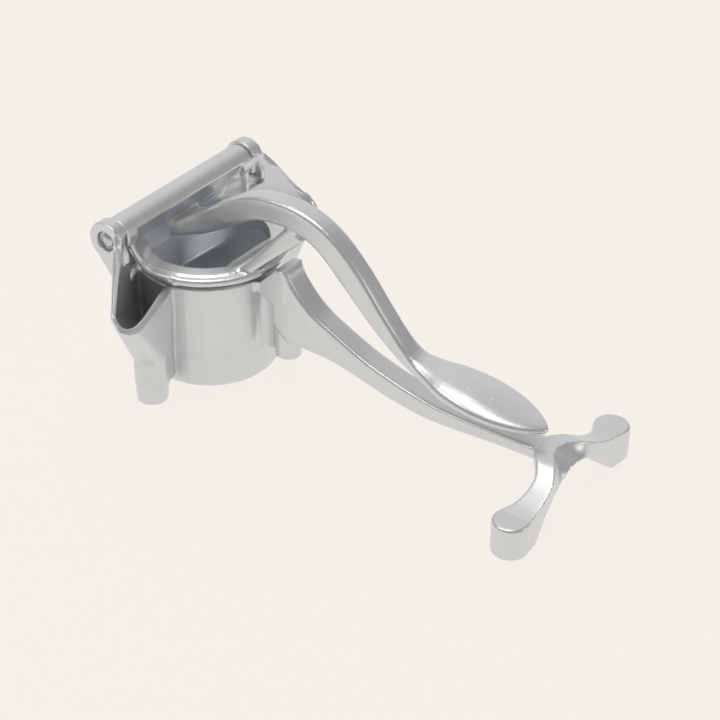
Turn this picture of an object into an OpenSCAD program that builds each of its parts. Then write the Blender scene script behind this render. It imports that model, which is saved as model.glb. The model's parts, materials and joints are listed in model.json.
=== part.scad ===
// Hand lever press juicer: two aluminium castings on one hinge pin, with a lift-out strainer.
// The lever's ring and hollow plunger swing into the round cup of the base. The base has a
// pouring beak on each side, two rear legs, and a long arm that ends in a forked front foot.
// Lengths are millimetres. X runs from the hinge to the front foot, Z is up, the floor is z = 0.

/* [Hinge] */
// Height of the hinge axis above the floor
hinge_h = 83; // [76:1:90]
// Distance between the outer faces of the two ears
ears_w = 106; // [102:1:112]
// Radius of the round boss on each ear
boss_r = 9.5; // [8.5:0.5:11]
// Thickness of each boss along the pin
boss_t = 6.8; // [6:0.2:7.4]
// Thickness of the ear plate that carries the boss
ear_t = 3.6; // [3:0.2:5]
// Radius of the hinge pin
pin_r = 2.75; // [2.25:0.25:3]
// Radial running clearance between the pin and the lever's barrel
pin_play = 0.05; // [0.03:0.01:0.08]
// Side play between the barrel and each boss
side_play = 0.4; // [0.3:0.1:0.8]
// Radius of the round recess in the outer face of each boss
recess_r = 5; // [4.5:0.25:6]
// Depth of that recess
recess_d = 2.6; // [1.4:0.2:3]

/* [Cup] */
// Distance from the hinge axis forward to the centre of the cup
cup_ahead = 16.4; // [15:0.2:18]
// Outer radius of the cup at its rim
cup_r = 35.4; // [34.6:0.2:37]
// Wall thickness of the cup
cup_wall = 2.6; // [2.2:0.1:3]
// Height of the rim above the floor
rim_h = 58; // [56:0.5:59]
// Height of the underside of the cup above the floor
cup_lift = 0.8; // [0.5:0.1:4]
// Rounding round the bottom of the cup
cup_round = 5; // [2.5:0.5:7]
// Amount by which the cup narrows towards its bottom
cup_draft = 1.8; // [1:0.2:4]
// Height of the ledge that carries the strainer
ledge_h = 24; // [20:0.5:25]

/* [Pouring beaks] */
// Distance from the middle of the cup out to the tip of each beak
beak_out = 74.6; // [72:0.2:77]
// Distance of the beak's tip ahead of the hinge axis
beak_ahead = 27.5; // [26:0.5:29]
// Height of the beak's lowest lip above the floor
beak_h = 50.1; // [48:0.1:52]
// Wall thickness of the beak
beak_wall = 2.2; // [1.8:0.1:2.4]

/* [Legs and front foot] */
// Radius of each rear leg
leg_r = 8.4; // [7:0.1:8.8]
// Distance of each rear leg from the middle
leg_out = 47; // [44:0.5:50]
// Distance of the rear legs ahead of the hinge axis
leg_ahead = 18; // [15:0.5:21]
// Distance of the front pads ahead of the hinge axis
foot_ahead = 217; // [200:1:240]
// Distance of each front pad from the middle
foot_out = 43; // [36:0.5:50]
// Radius of each front pad
pad_r = 8.6; // [7.5:0.1:9.5]
// Height of the front pads
pad_h = 16.8; // [14:0.2:20]
// Height of the arch under the middle of the front foot
arch_h = 21.5; // [18:0.5:23]
// Half of the width of that arch at the floor
arch_hw = 32.5; // [26:0.5:34]

/* [Base arm] */
// Half of the width of the base arm
arm_hw = 6.1; // [5:0.1:7]
// Half of the width of the block where the arm leaves the cup
root_hw = 7.6; // [6.5:0.1:9]
// Height of the top of that block above the floor
root_h = 68.4; // [66:0.2:70]
// Rounding where the block and the column's web leave the cup
root_round = 4; // [3:0.5:6]
// Radius of the round column under the block
column_r = 6.4; // [5.6:0.1:7.4]
// Distance of the column's axis ahead of the cup's outer wall
column_ahead = 12.2; // [10:0.2:13]
// Height of the lower end of the column above the floor
column_h = 18.5; // [12:0.5:22]

/* [Lever] */
// Half of the width of the lever arm
lever_hw = 5.6; // [4.6:0.1:6.5]
// Radius of the barrel round the pin
barrel_r = 8.2; // [7.6:0.1:9]
// Inner radius of the ring and of the hollow plunger
ring_r = 29.6; // [28.5:0.1:30]
// Outer radius of the ring's flange
flange_r = 40.2; // [38.5:0.2:42]
// Height of the top of the ring above the floor
ring_h = 67; // [66:0.2:69]
// Thickness of the flange
flange_t = 3.8; // [3:0.1:4.2]
// Wall thickness of the plunger
plunger_wall = 2.2; // [1.6:0.1:2.4]
// Height of the plunger's flat face above the floor, lever closed
press_h = 31.5; // [31:0.5:37]
// Half of the greatest width of the spoon-shaped handle
spoon_hw = 14.8; // [12:0.2:17]

/* [Strainer] */
// Thickness of the strainer's sheet
sheet_t = 0.8; // [0.6:0.1:1.2]
// Height of the strainer's side wall above its floor
strainer_wall_h = 5.5; // [4:0.5:5.5]
// Radius of each hole in the strainer's floor
hole_r = 1.3; // [0.8:0.1:1.6]
// Radial clearance between the strainer and the cup
strainer_play = 0.35; // [0.3:0.05:0.6]

/* [Hidden] */

over = 1;
// pieces of one casting that join face to face overlap or step by this much
bite = 0.3;
// the whole part is centred lengthwise between the cup's back and the front pads
hinge_x = -(foot_ahead + pad_r + cup_ahead - cup_r) / 2;
cup_x = cup_ahead;
ear_out = ears_w / 2;
boss_in = ear_out - boss_t;
plate_in = ear_out - ear_t;
barrel_hl = boss_in - side_play;
rim_in_r = cup_r - cup_wall;
floor_r = cup_r - cup_draft;
floor_in_r = floor_r - cup_wall;
floor_t = 3;
ledge_w = 3;
plunger_r = ring_r + plunger_wall;
swing_gap = 1.2;
// rooms round the hinge axis: the ring turns in the first, out to ring_out from the middle,
// and the barrel's ends with the tops of the fins turn in the second
room_r = barrel_r + 15.4;
ring_out = flange_r + 2.3;
fin_room = barrel_r + 7;
head_r = recess_r - 1.4;
head_h = 2;
clip_t = 0.8;
groove_d = 0.4;
alu = "#c9cbcc";
steel = "#dfe1e3";
// Smooth curve through a list of points, with steps points in each span.
function spline_at(p, i, t) =
    let (n = len(p) - 1, a = p[max(i - 1, 0)], b = p[i], c = p[min(i + 1, n)], d = p[min(i + 2, n)])
    0.5 * ((2 * b) + (c - a) * t + (2 * a - 5 * b + 4 * c - d) * t * t + (3 * b - a - 3 * c + d) * t * t * t);
function spline(p, steps) =
    concat([for (i = [0:len(p) - 2], k = [0:steps - 1]) spline_at(p, i, k / steps)], [p[len(p) - 1]]);
function power(v, e) = sign(v) * pow(abs(v), 2 / e);

// Cross-section of a bar at a station [x, z, slope, up, down, half width, upper and lower roundness].
// The section stands square to the slope. Roundness 2 is an ellipse, 6 is a box with round corners.
function bar_ring(s, n) = [
    for (k = [0:n - 1])
        let (a = 360 * (k + 0.5) / n,
             y = s[5] * power(cos(a), sin(a) > 0 ? s[6] : s[7]),
             v = (sin(a) > 0 ? s[3] : s[4]) * power(sin(a), sin(a) > 0 ? s[6] : s[7]))
        [s[0] - v * sin(s[2]), y, s[1] + v * cos(s[2])]
];

// Closed solid through a row of rings with equal numbers of points.
module loft(rings) {
    n = len(rings[0]);
    m = len(rings);
    polyhedron(
        points = [for (r = rings) each r],
        faces = concat(
            [[for (i = [0:n - 1]) i]],
            [for (j = [0:m - 2], i = [0:n - 1]) [j * n + i, (j + 1) * n + i, j * n + (i + 1) % n]],
            [for (j = [0:m - 2], i = [0:n - 1])
                [j * n + (i + 1) % n, (j + 1) * n + i, (j + 1) * n + (i + 1) % n]],
            [[for (i = [n - 1:-1:0]) (m - 1) * n + i]]));
}

module bar(stations, steps, n) {
    loft([for (s = spline(stations, steps)) bar_ring(s, n)]);
}

// Plate across Y with a side-view outline given as [x, z] points.
module side_plate(y0, y1, outline) {
    translate([0, y1, 0]) rotate([90, 0, 0]) linear_extrude(y1 - y0) polygon(outline);
}

// Round bar along Y, centred on the hinge axis.
module on_axis(r, y0, y1, fn = 64) {
    translate([0, y1, hinge_h]) rotate([90, 0, 0]) cylinder(r = r, h = y1 - y0, $fn = fn);
}

// Outline round two circles, from the side.
function arc(c, r, a0, a1, n) = [for (k = [0:n]) c + r * [cos(a0 + (a1 - a0) * k / n), sin(a0 + (a1 - a0) * k / n)]];
function strap(c1, r1, c2, r2) =
    let (d = c2 - c1, a = atan2(d[1], d[0]), b = acos((r1 - r2) / norm(d)))
    concat(arc(c1, r1, a + b, a + 360 - b, 16), arc(c2, r2, a - b, a + b, 10));

// Cup

module cup_solid() {
    translate([cup_x, 0, 0]) rotate_extrude($fn = 96)
        polygon(concat(
            [[0, cup_lift]],
            arc([floor_r - cup_round, cup_lift + cup_round], cup_round, -90, 0, 8),
            [[cup_r, rim_h - 6], [cup_r, rim_h], [0, rim_h]]));
}

module cup_hollow() {
    chamber_z = cup_lift + floor_t;
    chamber_r = min(floor_in_r, rim_in_r - ledge_w);
    translate([cup_x, 0, 0]) rotate_extrude($fn = 96)
        polygon([
            [0, chamber_z], [chamber_r - 2, chamber_z], [chamber_r, chamber_z + 2], [chamber_r, ledge_h],
            [rim_in_r, ledge_h], [rim_in_r, rim_h + over], [0, rim_h + over]
        ]);
}

// Pouring beak on the far side. Balls of this radius lie along the inside of its lip, from the ear
// down to the tip and back up to the rim.
lip_r = beak_wall + 0.6;
tip = [beak_ahead - lip_r, beak_out - lip_r, beak_h + lip_r];
lip = [
    [cup_x - 3.6, plate_in + 4.5, hinge_h - 6.7], tip + [-9, -9.2, 13.8], tip + [-4.6, -1.8, 4.8],
    tip + [-0.1, -0.5, 1.3], tip + [3, -2.5, 1.7], tip + [-1.3, -17.1, 4.6], [cup_x + 1.5, rim_in_r + 4.4, rim_h + 2.3]
];
// direction in which the mouth of the beak opens
mouth = [0.88, -0.2, 0.43];
// side view of the lip, from the boss down to the tip
lip_line = [
    [6.2, hinge_h + 7], [7.4, hinge_h + 4], [10.3, hinge_h - 1], [12.4, hinge_h - 5], [13.5, hinge_h - 9],
    [15.3, beak_h + 18.3], [17.3, beak_h + 13.3], [20, beak_h + 8.9], [23.4, beak_h + 5.5], [27, beak_h + 3.3],
    [beak_ahead + 3.5, beak_h + 2]
];

module beak() {
    difference() {
        union() {
            beak_form();
            leg();
            ear();
        }
        beak_hollow();
    }
}

module beak_form() {
    crease_r = 1.2;
    leg_top = cup_lift + 23;
    difference() {
        hull() {
            for (q = lip) translate(q) sphere(r = lip_r, $fn = 24);
            for (k = [0:3]) translate(lip[k] + 3 * mouth) sphere(r = lip_r, $fn = 24);
            for (q = [[5, rim_in_r + 0.6, rim_h - crease_r], [-4.5, rim_in_r - 0.2, cup_lift + 8]])
                translate([cup_x + q[0], q[1], q[2]]) sphere(r = crease_r, $fn = 16);
            translate([leg_ahead + 5, leg_out - 2, cup_lift + 14]) sphere(r = crease_r, $fn = 16);
            translate([leg_ahead, leg_out, leg_top]) cylinder(r = leg_r - bite, h = 3, $fn = 32);
            translate([cup_x - 20, rim_in_r - 14, cup_lift + 10]) cube([18, 14, rim_h - cup_lift - 10]);
            translate([5.5, plate_in + bite, hinge_h - 28]) cube([8, ear_t - 2 * bite, 34]);
        }
        side_plate(0, beak_out + over, concat(lip_line, [[beak_out, beak_h + 2], [beak_out, hinge_h + 30]]));
        // seat of the lever's ring above the rim
        translate([cup_x, 0, rim_h]) cylinder(r = flange_r + 1.4, h = hinge_h, $fn = 96);
        // room for the ring and, up to the plate of the ear, for the barrel's ends
        on_axis(hinge_h - rim_h + bite, 0, ring_out, 96);
        on_axis(fin_room, 0, plate_in + bite, 96);
    }
    // foot of the beak, which ties the leg to the cup
    hull() {
        translate([leg_ahead, leg_out, column_h - 9]) cylinder(r = leg_r - bite, h = 16, $fn = 32);
        translate([cup_x - 8, rim_in_r - 3, cup_lift + 5]) cube([11, 3, 22]);
    }
}

module beak_hollow() {
    open_r = lip_r - beak_wall;
    chute_r = leg_r - 1.6 * beak_wall;
    hull() {
        for (q = lip) translate(q) sphere(r = open_r, $fn = 16);
        for (k = [0:3]) translate(lip[k] + 4 * mouth) sphere(r = open_r, $fn = 16);
        for (k = [4:6]) translate(lip[k] + [0, 0, 6]) sphere(r = open_r, $fn = 16);
        translate([leg_ahead - 1, leg_out - 5, cup_lift + 31]) sphere(r = chute_r, $fn = 24);
        translate([cup_x - 20 + beak_wall, rim_in_r - 10, ledge_h + 6]) cube([20 - beak_wall, 8, rim_h - ledge_h]);
        translate([8, plate_in - 7, hinge_h - 26]) cube([4, 6.6, 30]);
    }
}

// opening low in the cup's wall, through which the juice reaches the beak
module drain() {
    translate([cup_x - 9, rim_in_r - 7, ledge_h - 5]) cube([10, 15, 17]);
}

// plate with the boss for the pin
module ear() {
    low = [15, hinge_h - 27];
    on_axis(boss_r, boss_in - bite, ear_out, 72);
    side_plate(plate_in, ear_out - bite / 2, strap([0, hinge_h], boss_r - bite, low, 5.5));
}

module leg() {
    round_r = 1.5;
    translate([leg_ahead, leg_out, 0]) rotate_extrude($fn = 48)
        polygon(concat([[0, 0]], arc([leg_r - 0.8 - round_r, round_r], round_r, -90, 0, 4),
            [[leg_r, column_h + 8], [0, column_h + 8]]));
}

// Front

root_x = cup_x + cup_r + 15.8;
column_x = cup_x + cup_r + column_ahead;
// round bead along the front edge of the lever's ring, and the room in front of it
bead_r = 2.1;
bead_at = flange_r - bead_r;
bead_h = ring_h - 3.1;
bead_gap = 1;

// plan of a web that leaves the cup with a round fillet on each side
module saddle(hw, x_end) {
    reach = cup_r + root_round - bite;
    side = hw + root_round;
    a = asin(side / reach);
    mid = [cup_x + reach * cos(a), side];
    half = concat([[cup_x + 10, 10 * tan(a)]], arc(mid, root_round, 180 + a, 270, 8), [[x_end, hw]]);
    polygon(concat(half, [for (k = [len(half) - 1:-1:0]) [half[k][0], -half[k][1]]]));
}

// block that rises from the rim, where the arm begins, on a round column
module arm_root() {
    rim_x = cup_x + cup_r - 4;
    // the slope rises at 45 degrees and passes the bead at this distance ahead of its centre
    slope_x = cup_x + bead_at + (bead_r + bead_gap) * sqrt(2) - bead_h;
    intersection() {
        side_plate(-root_hw - root_round, root_hw + root_round, [
            [rim_x, rim_h - 3], [rim_x, rim_h], [slope_x + rim_h, rim_h], [slope_x + root_h - 0.9, root_h - 0.9],
            [root_x - 1, root_h], [root_x, root_h - 1], [root_x, rim_h - 8], [rim_x + 10, rim_h - 9]
        ]);
        linear_extrude(root_h + over) saddle(root_hw, root_x + over);
    }
    translate([column_x, 0, column_h]) cylinder(r = column_r, h = rim_h - 4 - column_h, $fn = 48);
    translate([0, 0, column_h + 1.4]) linear_extrude(rim_h - 6 - column_h) saddle(column_r - 3.6, column_x);
}

arm_end = foot_ahead - 7;
arm_run = (arm_end - root_x) / 142.4;
// top and bottom of the arm in side view, as [share of the run, bottom, top]
arm_shape = [
    [-7, 36, 66], [0, 29.4, root_h - 0.6], [3, 29.3, root_h - 5.6], [9, 29, 55.6], [17, 28.6, 49.2], [26, 28, 44.6],
    [43, 24.6, 36.8],
    [58, 20.9, 32], [77, 18.2, 27.8], [94, 18.4, 26.3], [120, 20.2, 26.6], [142.4, 20.6, 26.6]
];
module base_arm() {
    bar([for (q = arm_shape)
            let (mid = (q[1] + q[2]) / 2, half = (q[2] - q[1]) / 2,
                 hw = arm_hw + (root_hw - bite - arm_hw) * min(1, max(0, 1 - q[0] / 26)))
            [root_x + q[0] * arm_run, mid, 0, half, half, hw, 9, 9]], 4, 28);
}

// Forked front foot, from the middle out to a pad, as stations
// [y, x of the back, x of the front at the top, x of the front at the arch, height of the top].
foot_stations = [
    [0, -12.6, -4.4, 6, 27.2], [5.5, -12, -2.6, 6, 27.2], [8, -10.6, -0.5, 6, 27], [12, -7.6, 2.3, 6, 26.3],
    [16, -4.8, 4.7, 6.1, 24.6], [20, -3.2, 6.5, 6.3, 22.8], [26, -2.8, 7.6, 6.6, 20.6], [34, -4.4, 8, 7.4, 18.2]
];
function foot_ring(s, side) =
    let (low = bite + arch_h * max(0, 1 - pow(s[0] / arch_hw, 1.9)), x0 = foot_ahead, y = side * s[0])
    [[x0 + s[2], y, s[4]], [x0 + s[3], y, low], [x0 + s[1], y, low], [x0 + s[1], y, s[4]]];

module foot() {
    round_r = 1.4;
    half = spline(concat(foot_stations, [[foot_out - 1, -pad_r + bite, pad_r - bite, pad_r - bite, pad_h - bite]]), 3);
    far = [for (s = half) foot_ring(s, 1)];
    near = [for (k = [len(half) - 1:-1:1]) foot_ring(half[k], -1)];
    loft(concat(near, far));
    for (side = [0, 1]) mirror([0, side, 0])
        translate([foot_ahead, foot_out, 0]) rotate_extrude($fn = 48)
            polygon(concat([[0, 0]], arc([pad_r - round_r, round_r], round_r, -90, 0, 4),
                arc([pad_r - round_r, pad_h - round_r], round_r, 0, 90, 4), [[0, pad_h]]));
}

module base() {
    color(alu) translate([hinge_x, 0, 0]) difference() {
        union() {
            cup_solid();
            for (side = [0, 1]) mirror([0, side, 0]) beak();
            arm_root();
            base_arm();
            foot();
        }
        cup_hollow();
        for (side = [0, 1]) mirror([0, side, 0]) drain();
        // room for the ring, and for the barrel and the fins' ends between the ears
        on_axis(room_r, -ring_out + bite, ring_out - bite, 96);
        on_axis(fin_room - bite, -boss_in, boss_in, 96);
        on_axis(pin_r, -ear_out - over, ear_out + over);
        for (side = [0, 1]) mirror([0, side, 0]) on_axis(recess_r, ear_out - recess_d, ear_out + over);
    }
}

// Lever

flange_z = ring_h - flange_t;
// flat plate that carries the barrel, across the back of the ring
plate_x = 2;
plate_t = 4.2;
// thickness of the flange behind the hopper's opening
shelf_t = 1.6;
cheek_t = 7;
flat_d = 5.2;
flat_a = 28;

// The ring is flat on top. From a notch on each side, a round bead runs along its front edge.
module ring() {
    bead_a = 74;
    difference() {
        union() {
            translate([cup_x, 0, flange_z]) cylinder(r = flange_r - 3.6, h = flange_t, $fn = 96);
            translate([cup_x, 0, bead_h]) rotate([0, 0, -bead_a]) rotate_extrude(angle = 2 * bead_a, $fn = 96)
                polygon(concat([[bead_at - 4, -1.9]], arc([bead_at, 0], bead_r, -75, 100, 10), [[bead_at - 4, 1.9]]));
            for (side = [-1, 1]) rotate_about_cup(side * bead_a) translate([bead_at, 0, bead_h])
                sphere(r = bead_r + 0.5, $fn = 24);
            side_wings();
        }
        translate([cup_x, 0, flange_z - 5]) cylinder(r = ring_r, h = flange_t + 5 - shelf_t, $fn = 96);
        // opening of the hopper, with a straight back edge under the plate
        intersection() {
            translate([cup_x, 0, flange_z - 4]) cylinder(r = ring_r, h = 20, $fn = 96);
            translate([plate_x, -flange_r, flange_z - 6]) cube([2 * flange_r, 2 * flange_r, 22]);
        }
        // flat back edge, just behind the plunger
        translate([cup_x - plunger_r - bite - flange_r, -flange_r, flange_z - 6]) cube([flange_r, 2 * flange_r, 30]);
    }
}

module rotate_about_cup(a) {
    translate([cup_x, 0, 0]) rotate([0, 0, a]) children();
}

// flat parts of the flange behind the bead, one on each side
module side_wings() {
    for (side = [0, 1]) mirror([0, side, 0]) translate([0, 0, flange_z + bite]) linear_extrude(flange_t - 2 * bite)
        polygon(concat(arc([cup_x, 0], flange_r + 0.6, 76, 101, 8), arc([cup_x, 0], ring_r + 2, 101, 76, 8)));
}

// The plunger has to swing out past the rim. At each distance y from the middle plane, this is
// the largest radius about the hinge axis that clears the front of the cup.
function swing_r(y) =
    sqrt(pow(cup_x + sqrt(pow(rim_in_r, 2) - y * y), 2) + pow(hinge_h - rim_h, 2)) - swing_gap;
module swing_space(inset) {
    steps = 12;
    half_w = rim_in_r - inset - bite;
    translate([0, 0, hinge_h]) rotate([90, 0, 0]) rotate_extrude($fn = 128) polygon(concat(
        [[0, -half_w]],
        [for (k = [-steps:steps]) let (y = half_w * sin(90 * k / steps)) [swing_r(abs(y) + inset) - inset, y]],
        [[0, half_w]]));
}

module plunger() {
    press_t = 2.4;
    difference() {
        intersection() {
            translate([cup_x, 0, press_h]) cylinder(r = plunger_r, h = ring_h - press_h - 1, $fn = 96);
            swing_space(0);
        }
        intersection() {
            translate([cup_x, 0, press_h + press_t]) cylinder(r = ring_r, h = ring_h, $fn = 96);
            swing_space(plunger_wall);
        }
        translate([cup_x, 0, flange_z - 1]) cylinder(r = ring_r, h = 20, $fn = 96);
    }
}

module barrel() {
    front = [cos(flat_a), -sin(flat_a)];
    flat_low = (plate_x - flat_d * front[0]) / sin(flat_a);
    difference() {
        union() {
            on_axis(barrel_r, -barrel_hl, barrel_hl, 72);
            hinge_plate();
        }
        // flat along the front of the barrel, between the cheeks
        translate([flat_d * front[0], 0, hinge_h + flat_d * front[1]]) rotate([0, flat_a, 0])
            translate([0, -barrel_hl + cheek_t, flat_low]) cube([20, 2 * (barrel_hl - cheek_t), 2 * barrel_r]);
    }
    for (side = [0, 1]) mirror([0, side, 0]) fin();
}

// Levels of a fin, which sweeps from the ring's flat top up to the end of the barrel:
// [x and y in front inside, x and y in front outside, x and y at the back outside, height above the ring].
fin_levels = [
    [16, 30.2, 16, 39.8, 0, 31, -2.8], [16, 30.2, 16, 39.8, 0, 31, -0.4], [10.5, 28.9, 11.8, 40.3, 0, 31.4, 0.5],
    [5, 27.6, 9.9, 41, 0, 32, 2], [2.4, 27.4, 9, 41.6, -0.5, 33, 4], [2.2, 29.2, 8.3, 42.4, -1, 34.5, 6.4],
    [2.4, 30.6, 7.8, 43.4, -2, 36.5, 9], [4.5, 33.2, 7.4, 44.4, -3, 40, 13], [6.5, 36.4, 6.8, 44.4, -4, 44, 17]
];
fin_out = 44.4;
function fin_z(k) = ring_h + k * (hinge_h - ring_h) / 16;
module fin() {
    out = barrel_hl - 1.4 - fin_out;
    loft([for (s = fin_levels)
        [[s[2], s[3] + out, fin_z(s[6])], [s[4], s[5] + out, fin_z(s[6])],
         [-2, s[1] + out - 1.8, fin_z(s[6])], [s[0], s[1] + out, fin_z(s[6])]]]);
}

// plate down from the barrel to the back of the ring, wider at the top
module hinge_plate() {
    low = flange_z + 2 * bite;
    front_view = [
        [ring_r + 0.8, ring_h - 1], [ring_r + 0.8, low], [flange_r - 0.4, low], [flange_r + 1.2, fin_z(1)],
        [flange_r + 1.6, fin_z(3)], [barrel_hl - 1.6, fin_z(5.5)], [barrel_hl - 1.6, hinge_h]
    ];
    intersection() {
        side_plate(-barrel_hl, barrel_hl, [[plate_x, low], [plate_x, hinge_h - 6], [plate_x - 1, hinge_h],
            [-barrel_r + 0.6, hinge_h - 2], [plate_x - plate_t, hinge_h - 11], [plate_x - plate_t, low]]);
        translate([-ring_r, 0, 0]) rotate([90, 0, 90]) linear_extrude(2 * ring_r)
            polygon(concat(front_view, [for (k = [len(front_view) - 1:-1:0]) [-front_view[k][0], front_view[k][1]]]));
    }
}

// arched lever arm, its neck and the spoon-shaped handle, as stations along the middle plane:
// [x, z, slope, up, down, half width, upper roundness, lower roundness]
lever_stations = [
    [0.6, 70.6, 8, 3.7, 3.5, lever_hw + 6, 6, 6],
    [5, 71.2, 15, 4, 3.9, lever_hw + 4.6, 6, 6],
    [11, 73.2, 26, 4.8, 4.6, lever_hw + 2, 6, 6],
    [19, 77, 33, 5.5, 5.4, lever_hw + 0.3, 6, 6],
    [32.6, 86, 37, 6.3, 6.3, lever_hw, 6, 6],
    [48.5, 94.6, 20, 6.2, 6.2, lever_hw, 6, 6],
    [64.6, 96.8, -2, 6.2, 6.2, lever_hw, 6, 6],
    [75, 95.6, -12, 6.2, 6.2, lever_hw, 6, 6],
    [85, 92, -32, 6.4, 6.3, lever_hw, 6, 6],
    [94.8, 84.9, -42, 6.6, 6.6, lever_hw, 6, 6],
    [105.4, 74.3, -47, 6.4, 6.4, lever_hw, 6, 6],
    [117, 61.3, -48, 5.4, 5.3, lever_hw, 6, 6],
    [129, 49.6, -41, 4.1, 4, lever_hw, 5, 5],
    [138, 43.4, -26, 4, 3, lever_hw + 0.8, 3.4, 4.5]
];
spoon_stations = [
    [147, 40.6, -11, 5, 2, 0.62, 2.6, 4],
    [157, 39.2, -7, 5.8, 1.9, 0.87, 2.3, 4],
    [168, 38, -6, 5.9, 1.8, 0.99, 2.2, 4],
    [177, 37, -6, 5.3, 1.7, 1, 2.2, 4],
    [187, 35.9, -6, 4.2, 1.7, 0.9, 2.3, 4],
    [196, 35, -6, 3, 1.6, 0.68, 2.4, 4],
    [202.5, 34.3, -6, 2.2, 1.5, 0.42, 2.6, 4],
    [206.4, 33.8, -6, 1.6, 1.2, 0.19, 2.6, 3],
    [207.8, 33.6, -6, 0.9, 0.7, 0.07, 2.4, 3]
];
module lever_arm() {
    spoon = [for (s = spoon_stations) [s[0], s[1], s[2], s[3], s[4], s[5] * spoon_hw, s[6], s[7]]];
    bar(concat(lever_stations, spoon), 3, 28);
}

// neck between the front of the ring and the underside of the arched arm
module neck() {
    bar([
        [41, 62, 18, 4.4, 2.4, 20, 5, 5],
        [47.5, 64.6, 34, 4.3, 2.6, 17, 5, 5],
        [54, 70, 43, 4.3, 3, 12.6, 5, 4],
        [60.5, 76.4, 46, 4.6, 3.6, 8.8, 5, 4],
        [67, 83, 48, 5, 4.4, 6.4, 5, 4],
        [73, 89.4, 50, 5.5, 5, lever_hw - 0.4, 5, 5]
    ], 4, 24);
}

module press_lever() {
    color(alu) translate([hinge_x, 0, 0]) difference() {
        union() {
            barrel();
            ring();
            plunger();
            difference() {
                union() {
                    lever_arm();
                    neck();
                }
                translate([cup_x, 0, 0]) cylinder(r = ring_r + bite, h = ring_h - 1.6, $fn = 96);
            }
        }
        on_axis(pin_r + pin_play, -barrel_hl - over, barrel_hl + over);
    }
}

// Hinge pin

// headed pin: a domed head in the near ear's recess, a groove for the retaining ring at the far one
module hinge_pin() {
    tail = ear_out - 0.2;
    seat = ear_out - recess_d;
    color(steel) translate([hinge_x, 0, hinge_h]) rotate([-90, 0, 0]) rotate_extrude($fn = 64)
        polygon(concat(
            [[0, -seat - head_h - 0.2]],
            [for (k = [1:6]) let (a = 90 * k / 6) [head_r * sin(a), -seat - 0.2 - head_h * cos(a)]],
            [[head_r, -seat], [pin_r, -seat], [pin_r, seat], [pin_r - groove_d, seat],
             [pin_r - groove_d, seat + clip_t], [pin_r, seat + clip_t], [pin_r, tail - 0.5], [pin_r - 0.5, tail], [0, tail]]));
}

// open spring ring that snaps into the pin's groove
module retaining_ring() {
    clip_r = recess_r - 0.5;
    seat = ear_out - recess_d;
    color(steel) translate([hinge_x, 0, hinge_h]) rotate([-90, 0, 0]) translate([0, 0, seat])
        difference() {
            cylinder(r = clip_r, h = clip_t, $fn = 64);
            translate([0, 0, -over]) cylinder(r = pin_r - groove_d, h = clip_t + 2 * over, $fn = 64);
            translate([0, -1.6, -over]) cube([clip_r + over, 3.2, clip_t + 2 * over]);
        }
}

// Strainer

module strainer() {
    r = rim_in_r - strainer_play;
    top = ledge_h + sheet_t + strainer_wall_h;
    color(steel) translate([hinge_x + cup_x, 0, 0]) difference() {
        rotate_extrude($fn = 96) polygon(concat(
            [[0, ledge_h], [r - 2, ledge_h], [r - sheet_t * 0.4, ledge_h + 1], [r, ledge_h + 2], [r, top],
             [r - sheet_t, top], [r - sheet_t, ledge_h + 2.4], [r - 2.4, ledge_h + sheet_t], [0, ledge_h + sheet_t]]));
        // rings of drain holes inside the ledge
        for (row = [1:4]) {
            count = row * 6;
            for (k = [0:count - 1]) rotate(360 * k / count)
                translate([row * 6.2, 0, ledge_h - over]) cylinder(r = hole_r, h = sheet_t + 2 * over, $fn = 16);
        }
    }
}

base();
press_lever();
hinge_pin();
retaining_ring();
strainer();
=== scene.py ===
"""Lever press juicer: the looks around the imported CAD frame. Lengths are metres."""
import json
import math

import bmesh
import bpy
import numpy as np
from mathutils import Matrix, Vector


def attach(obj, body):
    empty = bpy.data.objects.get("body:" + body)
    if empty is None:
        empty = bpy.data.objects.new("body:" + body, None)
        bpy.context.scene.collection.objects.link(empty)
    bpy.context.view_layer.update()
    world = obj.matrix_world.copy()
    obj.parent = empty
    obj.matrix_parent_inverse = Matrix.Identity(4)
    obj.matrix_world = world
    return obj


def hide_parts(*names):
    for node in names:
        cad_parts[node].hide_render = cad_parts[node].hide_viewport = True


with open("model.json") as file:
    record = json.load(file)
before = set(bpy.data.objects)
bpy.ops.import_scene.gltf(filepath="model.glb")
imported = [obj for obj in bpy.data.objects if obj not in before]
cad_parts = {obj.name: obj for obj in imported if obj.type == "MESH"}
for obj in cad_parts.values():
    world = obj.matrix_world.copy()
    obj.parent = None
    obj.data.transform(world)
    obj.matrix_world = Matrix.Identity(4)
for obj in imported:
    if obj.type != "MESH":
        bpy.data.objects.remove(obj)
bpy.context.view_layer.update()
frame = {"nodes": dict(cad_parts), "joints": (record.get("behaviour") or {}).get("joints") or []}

MM = 0.001
HINGE = Vector(frame["joints"][0]["pos_m"])

# Camera, at the photograph's viewing angle
CAMERA_AZIMUTH = 35.64
CAMERA_ELEVATION = 33.99
CAMERA_ROLL = 0.33
FOCAL_PX = 1970.49
IMAGE_PX = 720
SENSOR_MM = 36.0
CLIP_START = 0.05
# the camera was fitted with a bigger model, in millimetres, which this factor brings to the real size
FIT_SCALE = 0.842
# the point that it looks at, from the middle of the hinge's foot on the floor, and how far off it is
TARGET = Vector((110, 0, 40)) * FIT_SCALE * MM
CAMERA_DISTANCE = 1094.51 * FIT_SCALE * MM
# where the target lies in the picture, in pixels to the right of its middle and below it
TARGET_RIGHT_PX = -23.44
TARGET_DOWN_PX = -14.03


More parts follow.
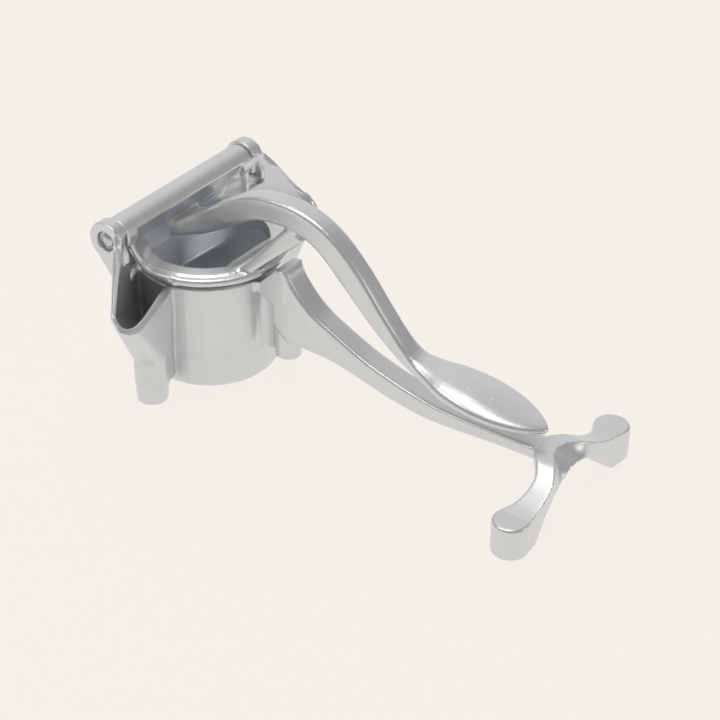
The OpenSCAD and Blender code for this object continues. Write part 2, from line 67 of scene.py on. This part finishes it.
def make_camera():
    """The camera, moved sideways and not shifted, so that it is plain in other views too."""
    az = math.radians(CAMERA_AZIMUTH)
    el = math.radians(CAMERA_ELEVATION)
    roll = math.radians(CAMERA_ROLL)
    back = Vector((math.sin(az) * math.cos(el), -math.cos(az) * math.cos(el), math.sin(el)))
    right0 = Vector((math.cos(az), math.sin(az), 0))
    up0 = back.cross(right0)
    right = math.cos(roll) * right0 + math.sin(roll) * up0
    up = -math.sin(roll) * right0 + math.cos(roll) * up0
    pixel = CAMERA_DISTANCE / FOCAL_PX
    pos = TARGET + back * CAMERA_DISTANCE - right * TARGET_RIGHT_PX * pixel + up * TARGET_DOWN_PX * pixel
    pos.x += HINGE.x
    data = bpy.data.cameras.new("camera")
    data.sensor_width = SENSOR_MM
    data.lens = FOCAL_PX / IMAGE_PX * SENSOR_MM
    data.clip_start = CLIP_START
    cam = bpy.data.objects.new("camera", data)
    cam.matrix_world = Matrix((
        (right.x, up.x, back.x, pos.x),
        (right.y, up.y, back.y, pos.y),
        (right.z, up.z, back.z, pos.z),
        (0, 0, 0, 1)))
    bpy.context.scene.collection.objects.link(cam)
    bpy.context.scene.camera = cam


make_camera()


# Node helpers
class Nodes:
    """A material's node tree, with short calls for the nodes that the finishes use."""

    def __init__(self, name):
        self.material = bpy.data.materials.new(name)
        self.material.use_nodes = True
        self.tree = self.material.node_tree
        self.tree.nodes.clear()

    def add(self, kind, **values):
        node = self.tree.nodes.new(kind)
        for key, value in values.items():
            setattr(node, key, value)
        return node

    def link(self, a, b):
        self.tree.links.new(a, b)

    def noise(self, scale, detail, roughness=0.5, stretch=(1, 1, 1)):
        """Noise over the object's own coordinates. scale is in waves per metre."""
        place = self.add("ShaderNodeTexCoord")
        mapping = self.add("ShaderNodeMapping")
        mapping.inputs["Scale"].default_value = stretch
        self.link(place.outputs["Object"], mapping.inputs["Vector"])
        node = self.add("ShaderNodeTexNoise")
        node.inputs["Scale"].default_value = scale
        node.inputs["Detail"].default_value = detail
        node.inputs["Roughness"].default_value = roughness
        self.link(mapping.outputs["Vector"], node.inputs["Vector"])
        return node.outputs["Fac"]

    def spread(self, value, low, high, from_low=0.3, from_high=0.7):
        """Maps a value between from_low and from_high, where noise mostly lies, to low and high."""
        node = self.add("ShaderNodeMapRange")
        node.inputs["From Min"].default_value = from_low
        node.inputs["From Max"].default_value = from_high
        node.inputs["To Min"].default_value = low
        node.inputs["To Max"].default_value = high
        self.link(value, node.inputs["Value"])
        return node.outputs["Result"]

    def feed(self, socket, value):
        """Sets a plain value on a socket, or links another node's output to it."""
        if isinstance(value, (tuple, float, int)):
            socket.default_value = value
        else:
            self.link(value, socket)

    def mix_color(self, factor, a, b):
        node = self.add("ShaderNodeMix", data_type="RGBA")
        for name, value in (("Factor", factor), ("A", a), ("B", b)):
            self.feed(node.inputs[name], value)
        return node.outputs["Result"]

    def bump(self, height, strength, distance, normal=None):
        node = self.add("ShaderNodeBump")
        node.inputs["Strength"].default_value = strength
        node.inputs["Distance"].default_value = distance
        self.link(height, node.inputs["Height"])
        if normal is not None:
            self.link(normal, node.inputs["Normal"])
        return node.outputs["Normal"]

    def surface(self, color, roughness, metallic, normal):
        shader = self.add("ShaderNodeBsdfPrincipled")
        out = self.add("ShaderNodeOutputMaterial")
        sockets = {"Base Color": color, "Roughness": roughness, "Metallic": metallic, "Normal": normal}
        for name, value in sockets.items():
            self.feed(shader.inputs[name], value)
        self.link(shader.outputs["BSDF"], out.inputs["Surface"])


# Finishes
COOL_TINT = (0.975, 1, 1.028)
# waves per metre of the casting's colour, of its grain and of its gentle swell
MOTTLE = 70
GRAIN = 1500
SWELL = 210
# below 1, because a tumbled skin is a little chalky
CASTING_METALLIC = 0.82


def grey(level):
    """A slightly cool grey, as aluminium has."""
    return (*(level * tint for tint in COOL_TINT), 1)


def cast_aluminium():
    """Tumbled, satin casting: soft mottling, a fine grain, a painted highlight on the edges and painted
    shade in the inside corners.
    """
    n = Nodes("cast_aluminium")
    mottle = n.noise(MOTTLE, 3)
    grain = n.noise(GRAIN, 4, 0.7)
    base = n.mix_color(n.spread(mottle, 0, 1), grey(0.72), grey(0.77))
    base = n.mix_color(n.spread(grain, 0, 1, 0.35, 0.65), base, grey(0.8))
    pointiness = n.add("ShaderNodeNewGeometry").outputs["Pointiness"]
    # painted shade: the creases, where pointiness is low, are darkened towards grey 0.3
    crease_shade_mask = n.spread(pointiness, 1, 0, 0.44, 0.494)
    painted_crease_shade = n.mix_color(crease_shade_mask, base, grey(0.3))
    # painted highlight: the convex edges, where pointiness is high, are lightened towards grey 0.94
    edge_highlight_mask = n.spread(pointiness, 0, 1, 0.52, 0.58)
    color = n.mix_color(edge_highlight_mask, painted_crease_shade, grey(0.94))
    rough = n.spread(grain, 0.27, 0.38)
    normal = n.bump(grain, 0.16, 0.00005)
    normal = n.bump(n.noise(SWELL, 2), 0.1, 0.00018, normal)
    n.surface(color, rough, CASTING_METALLIC, normal)
    return n.material


def turned_steel():
    """Bright turned steel of the pin: fine rings round the axis, along Y."""
    n = Nodes("turned_steel")
    rings = n.noise(3000, 2, 0.5, (0.2, 1, 0.2))
    color = n.mix_color(n.spread(n.noise(300, 2), 0, 1), grey(0.6), grey(0.68))
    n.surface(color, n.spread(rings, 0.2, 0.32), 1.0, n.bump(rings, 0.1, 0.00004))
    return n.material


def strainer_sheet():
    """Pressed stainless sheet, satin, with faint drawing lines."""
    n = Nodes("strainer_sheet")
    lines = n.noise(900, 3, 0.6, (1, 1, 0.1))
    color = n.mix_color(n.spread(n.noise(150, 2), 0, 1), grey(0.5), grey(0.58))
    n.surface(color, n.spread(lines, 0.28, 0.42), 1.0, n.bump(lines, 0.12, 0.00005))
    return n.material


ALUMINIUM = cast_aluminium()
STEEL = turned_steel()
SHEET = strainer_sheet()


def paint(obj, material):
    obj.data.materials.clear()
    obj.data.materials.append(material)


# Castings
# how finely a casting is remeshed, and how often its skin is relaxed all over
VOXEL = 0.0005
SKIN_ROUNDS = 4
# inside corners are relaxed more, this many vertices to each side, so that they get cast fillets
FILLET_ROUNDS = 30
FILLET_SPREAD = 6
# how far the skin round a vertex has to rise above it, in voxels, to make it an inside corner
CORNER_RISE = 0.045
# the pin's seats keep their crisp corners out to this distance from the hinge's axis
SEAT_R = 0.0066


def vectors(items, name):
    """A vector property of all of a mesh's items, as rows."""
    values = np.empty(len(items) * 3)
    items.foreach_get(name, values)
    return values.reshape(-1, 3)


def inside_corners(mesh):
    """The numbers of the vertices at and beside concave creases."""
    place = vectors(mesh.vertices, "co")
    normal = vectors(mesh.vertices, "normal")
    ends = np.empty(len(mesh.edges) * 2, dtype=np.int64)
    mesh.edges.foreach_get("vertices", ends)
    first, second = ends.reshape(-1, 2).T
    around = np.zeros_like(place)
    np.add.at(around, first, place[second])
    np.add.at(around, second, place[first])
    valence = np.bincount(ends, minlength=len(place))[:, None]
    rise = ((around / np.maximum(valence, 1) - place) * normal).sum(1) / VOXEL
    from_axis = np.hypot(place[:, 0] - HINGE.x, place[:, 2] - HINGE.z)
    chosen = (rise > CORNER_RISE) & (from_axis > SEAT_R)
    for _ in range(FILLET_SPREAD):
        near = chosen.copy()
        near[first] |= chosen[second]
        near[second] |= chosen[first]
        chosen = near
    return np.flatnonzero(chosen).tolist()


def with_modifiers(obj):
    """The object's shape with its modifiers, or a curve's tube, as a new mesh."""
    return bpy.data.meshes.new_from_object(obj.evaluated_get(bpy.context.evaluated_depsgraph_get()))


def apply_modifiers(piece):
    done = with_modifiers(piece)
    piece.modifiers.clear()
    piece.data = done


def relax(piece, rounds, group=""):
    smooth = piece.modifiers.new("relax", "SMOOTH")
    smooth.factor = 0.5
    smooth.iterations = rounds
    smooth.vertex_group = group


def to_mesh(block, name):
    mesh = bpy.data.meshes.new(name)
    block.to_mesh(mesh)
    block.free()
    return mesh


def casting(node, extras):
    """A copy of a CAD casting and small extras, remeshed finely, with filleted inside corners."""
    whole = bmesh.new()
    for mesh in (frame["nodes"][node].data, *extras):
        whole.from_mesh(mesh)
    name = node + "_casting"
    piece = bpy.data.objects.new(name, to_mesh(whole, name))
    bpy.context.scene.collection.objects.link(piece)
    remesh = piece.modifiers.new("remesh", "REMESH")
    remesh.mode = "VOXEL"
    remesh.voxel_size = VOXEL
    relax(piece, SKIN_ROUNDS)
    apply_modifiers(piece)
    corners = piece.vertex_groups.new(name="corners")
    corners.add(inside_corners(piece.data), 1, "REPLACE")
    relax(piece, FILLET_ROUNDS, corners.name)
    relax(piece, 1)
    apply_modifiers(piece)
    for face in piece.data.polygons:
        face.use_smooth = True
    piece.vertex_groups.clear()
    paint(piece, ALUMINIUM)
    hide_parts(node)
    return piece


# Extras of the castings, in millimetres: x from the hinge, out from the middle plane, height.
# Bead along the lip of a beak's mouth
LIP_BEAD = (
    (19.8, 71.6, 59.2), (21.6, 72.6, 57), (24, 72.6, 55), (26.2, 70.8, 53.5), (27.2, 67.6, 52.9),
    (27.2, 64.5, 52.8), (26.1, 58.2, 53.3), (24.4, 51.9, 54.3), (22.6, 44.9, 55.5), (21.4, 39.2, 56.5),
    (21, 35.9, 56.9))
LIP_BEAD_R = 1.1
# bead along the outer edge of one of the lever's fins, up into the barrel
FIN_BEAD = (
    (10.4, 38.6, 67), (8.5, 39.3, 69), (7.6, 39.9, 71), (6.9, 40.7, 73.4), (6.4, 41.6, 76), (6, 42.4, 80),
    (5, 42.4, 83.5))
FIN_BEAD_R = 1.8
BEAD_STEPS = 4
# low wall that closes the view behind the ring, below the sweep of the lever: side view, and how far
# out it starts and ends
BACK_WALL = ((-6.2, 48), (-3.7, 48), (-3.7, 60.4), (-6.2, 60.4))
BACK_WALL_OUT = (29, 42)
# flat face inside an ear, over its low steps
EAR_FACE = ((-1, 72.5), (6, 77), (9, 82.5), (11, 78), (11, 74), (9, 71), (0, 69))
EAR_FACE_OUT = (48.8, 51.5)


def from_hinge(x, y, z):
    """A place given in millimetres: x and y from the middle of the hinge, z from the floor."""
    return Vector((HINGE.x + x * MM, y * MM, z * MM))


def bead(path, radius, side):
    data = bpy.data.curves.new("bead", "CURVE")
    data.dimensions = "3D"
    data.bevel_depth = radius * MM
    data.bevel_resolution = BEAD_STEPS
    data.use_fill_caps = True
    line = data.splines.new("POLY")
    line.points.add(len(path) - 1)
    for point, (x, out, height) in zip(line.points, path):
        point.co = (*from_hinge(x, side * out, height), 1)
    tube = bpy.data.objects.new("bead", data)
    bpy.context.scene.collection.objects.link(tube)
    mesh = with_modifiers(tube)
    bpy.data.objects.remove(tube)
    return mesh


def prism(outline, reach, side):
    """A closed block with this side view, which starts and ends this far out from the middle plane."""
    block = bmesh.new()
    inner, outer = (
        [block.verts.new(from_hinge(x, side * out, height)) for x, height in outline] for out in reach)
    block.faces.new(inner)
    block.faces.new(outer)
    for k in range(len(outline)):
        block.faces.new((inner[k - 1], inner[k], outer[k], outer[k - 1]))
    bmesh.ops.recalc_face_normals(block, faces=block.faces)
    return to_mesh(block, "prism")


def base_extras(side):
    return [
        bead(LIP_BEAD, LIP_BEAD_R, side),
        prism(BACK_WALL, BACK_WALL_OUT, side),
        prism(EAR_FACE, EAR_FACE_OUT, side)]


base = casting("base", base_extras(-1) + base_extras(1))
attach(base, "base")
lever = casting("press_lever", [bead(FIN_BEAD, FIN_BEAD_R, side) for side in (-1, 1)])
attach(lever, "lever")
for node, material in (("hinge_pin", STEEL), ("retaining_ring", STEEL), ("strainer", SHEET)):
    paint(frame["nodes"][node], material)


# Room
BACKGROUND = (0.930, 0.888, 0.839, 1)
FLOOR_REACH = 3.0
# how much of the floor's own shading, and so of the object's shadow, the camera sees
SHADOW_SHARE = 0.08


def make_floor():
    reach = FLOOR_REACH
    verts = [(-reach, -reach, 0), (reach, -reach, 0), (reach, reach, 0), (-reach, reach, 0)]
    mesh = bpy.data.meshes.new("floor")
    mesh.from_pydata(verts, [], [(0, 1, 2, 3)])
    floor = bpy.data.objects.new("floor", mesh)
    bpy.context.scene.collection.objects.link(floor)
    n = Nodes("floor")
    lit = n.add("ShaderNodeBsdfDiffuse")
    lit.inputs["Color"].default_value = BACKGROUND
    plain = n.add("ShaderNodeEmission")
    plain.inputs["Color"].default_value = BACKGROUND
    plain.inputs["Strength"].default_value = 1.0
    path = n.add("ShaderNodeLightPath")
    seen = n.add("ShaderNodeMath", operation="MAXIMUM")
    n.link(path.outputs["Is Camera Ray"], seen.inputs[0])
    n.link(path.outputs["Is Glossy Ray"], seen.inputs[1])
    share = n.add("ShaderNodeMath", operation="MULTIPLY")
    n.link(seen.outputs["Value"], share.inputs[0])
    share.inputs[1].default_value = 1 - SHADOW_SHARE
    mix = n.add("ShaderNodeMixShader")
    n.link(share.outputs["Value"], mix.inputs["Fac"])
    n.link(lit.outputs["BSDF"], mix.inputs[1])
    n.link(plain.outputs["Emission"], mix.inputs[2])
    out = n.add("ShaderNodeOutputMaterial")
    n.link(mix.outputs["Shader"], out.inputs["Surface"])
    paint(floor, n.material)


make_floor()

# Room light: a pale tent, brightest behind the object on the left
BRIGHT_SIDE = Vector((-0.55, 0.72, 0.42)).normalized()
TENT_LOW = 0.32
TENT_HIGH = 0.75
# where the tent begins to brighten and is brightest, as cosines of the angle to the bright side
TENT_BEGIN = 0.5
TENT_FULL = 0.98
TENT_COLOR = (1, 0.98, 0.957, 1)


def make_world():
    world = bpy.data.worlds.new("world")
    bpy.context.scene.world = world
    world.use_nodes = True
    tree = world.node_tree
    tree.nodes.clear()
    path = tree.nodes.new("ShaderNodeLightPath")
    seen = tree.nodes.new("ShaderNodeBackground")
    seen.inputs["Color"].default_value = BACKGROUND
    seen.inputs["Strength"].default_value = 1.0
    place = tree.nodes.new("ShaderNodeTexCoord")
    turn = tree.nodes.new("ShaderNodeVectorMath")
    turn.operation = "DOT_PRODUCT"
    turn.inputs[1].default_value = BRIGHT_SIDE
    tree.links.new(place.outputs["Generated"], turn.inputs[0])
    level = tree.nodes.new("ShaderNodeMapRange")
    level.interpolation_type = "SMOOTHSTEP"
    level.inputs["From Min"].default_value = TENT_BEGIN
    level.inputs["From Max"].default_value = TENT_FULL
    level.inputs["To Min"].default_value = TENT_LOW
    level.inputs["To Max"].default_value = TENT_HIGH
    tree.links.new(turn.outputs["Value"], level.inputs["Value"])
    lit = tree.nodes.new("ShaderNodeBackground")
    lit.inputs["Color"].default_value = TENT_COLOR
    tree.links.new(level.outputs["Result"], lit.inputs["Strength"])
    mix = tree.nodes.new("ShaderNodeMixShader")
    out = tree.nodes.new("ShaderNodeOutputWorld")
    tree.links.new(path.outputs["Is Camera Ray"], mix.inputs["Fac"])
    tree.links.new(lit.outputs["Background"], mix.inputs[1])
    tree.links.new(seen.outputs["Background"], mix.inputs[2])
    tree.links.new(mix.outputs["Shader"], out.inputs["Surface"])


make_world()

# Lamps: place, width, height, and brightness as a mirror shows it, where 1 is white
LAMPS = {
    "top": ((-0.1, -0.15, 1.2), 0.7, 0.7, 2.6),
    "key": ((-0.6, -0.75, 1.0), 0.5, 0.4, 2.8),
    "right": ((1.0, 0.35, 0.45), 0.35, 0.5, 1.6),
}
# the point that they all face
MIDDLE = Vector((0, 0, 0.05))


def area_light(name, place, width, height, level):
    data = bpy.data.lights.new(name, "AREA")
    data.shape = "RECTANGLE"
    data.size = width
    data.size_y = height
    data.energy = level * math.pi * width * height
    data.color = TENT_COLOR[:3]
    lamp = bpy.data.objects.new(name, data)
    lamp.location = place
    lamp.rotation_euler = (MIDDLE - lamp.location).to_track_quat("-Z", "Y").to_euler()
    bpy.context.scene.collection.objects.link(lamp)


for name, settings in LAMPS.items():
    area_light(name, *settings)

bpy.context.scene.view_settings.view_transform = "Standard"
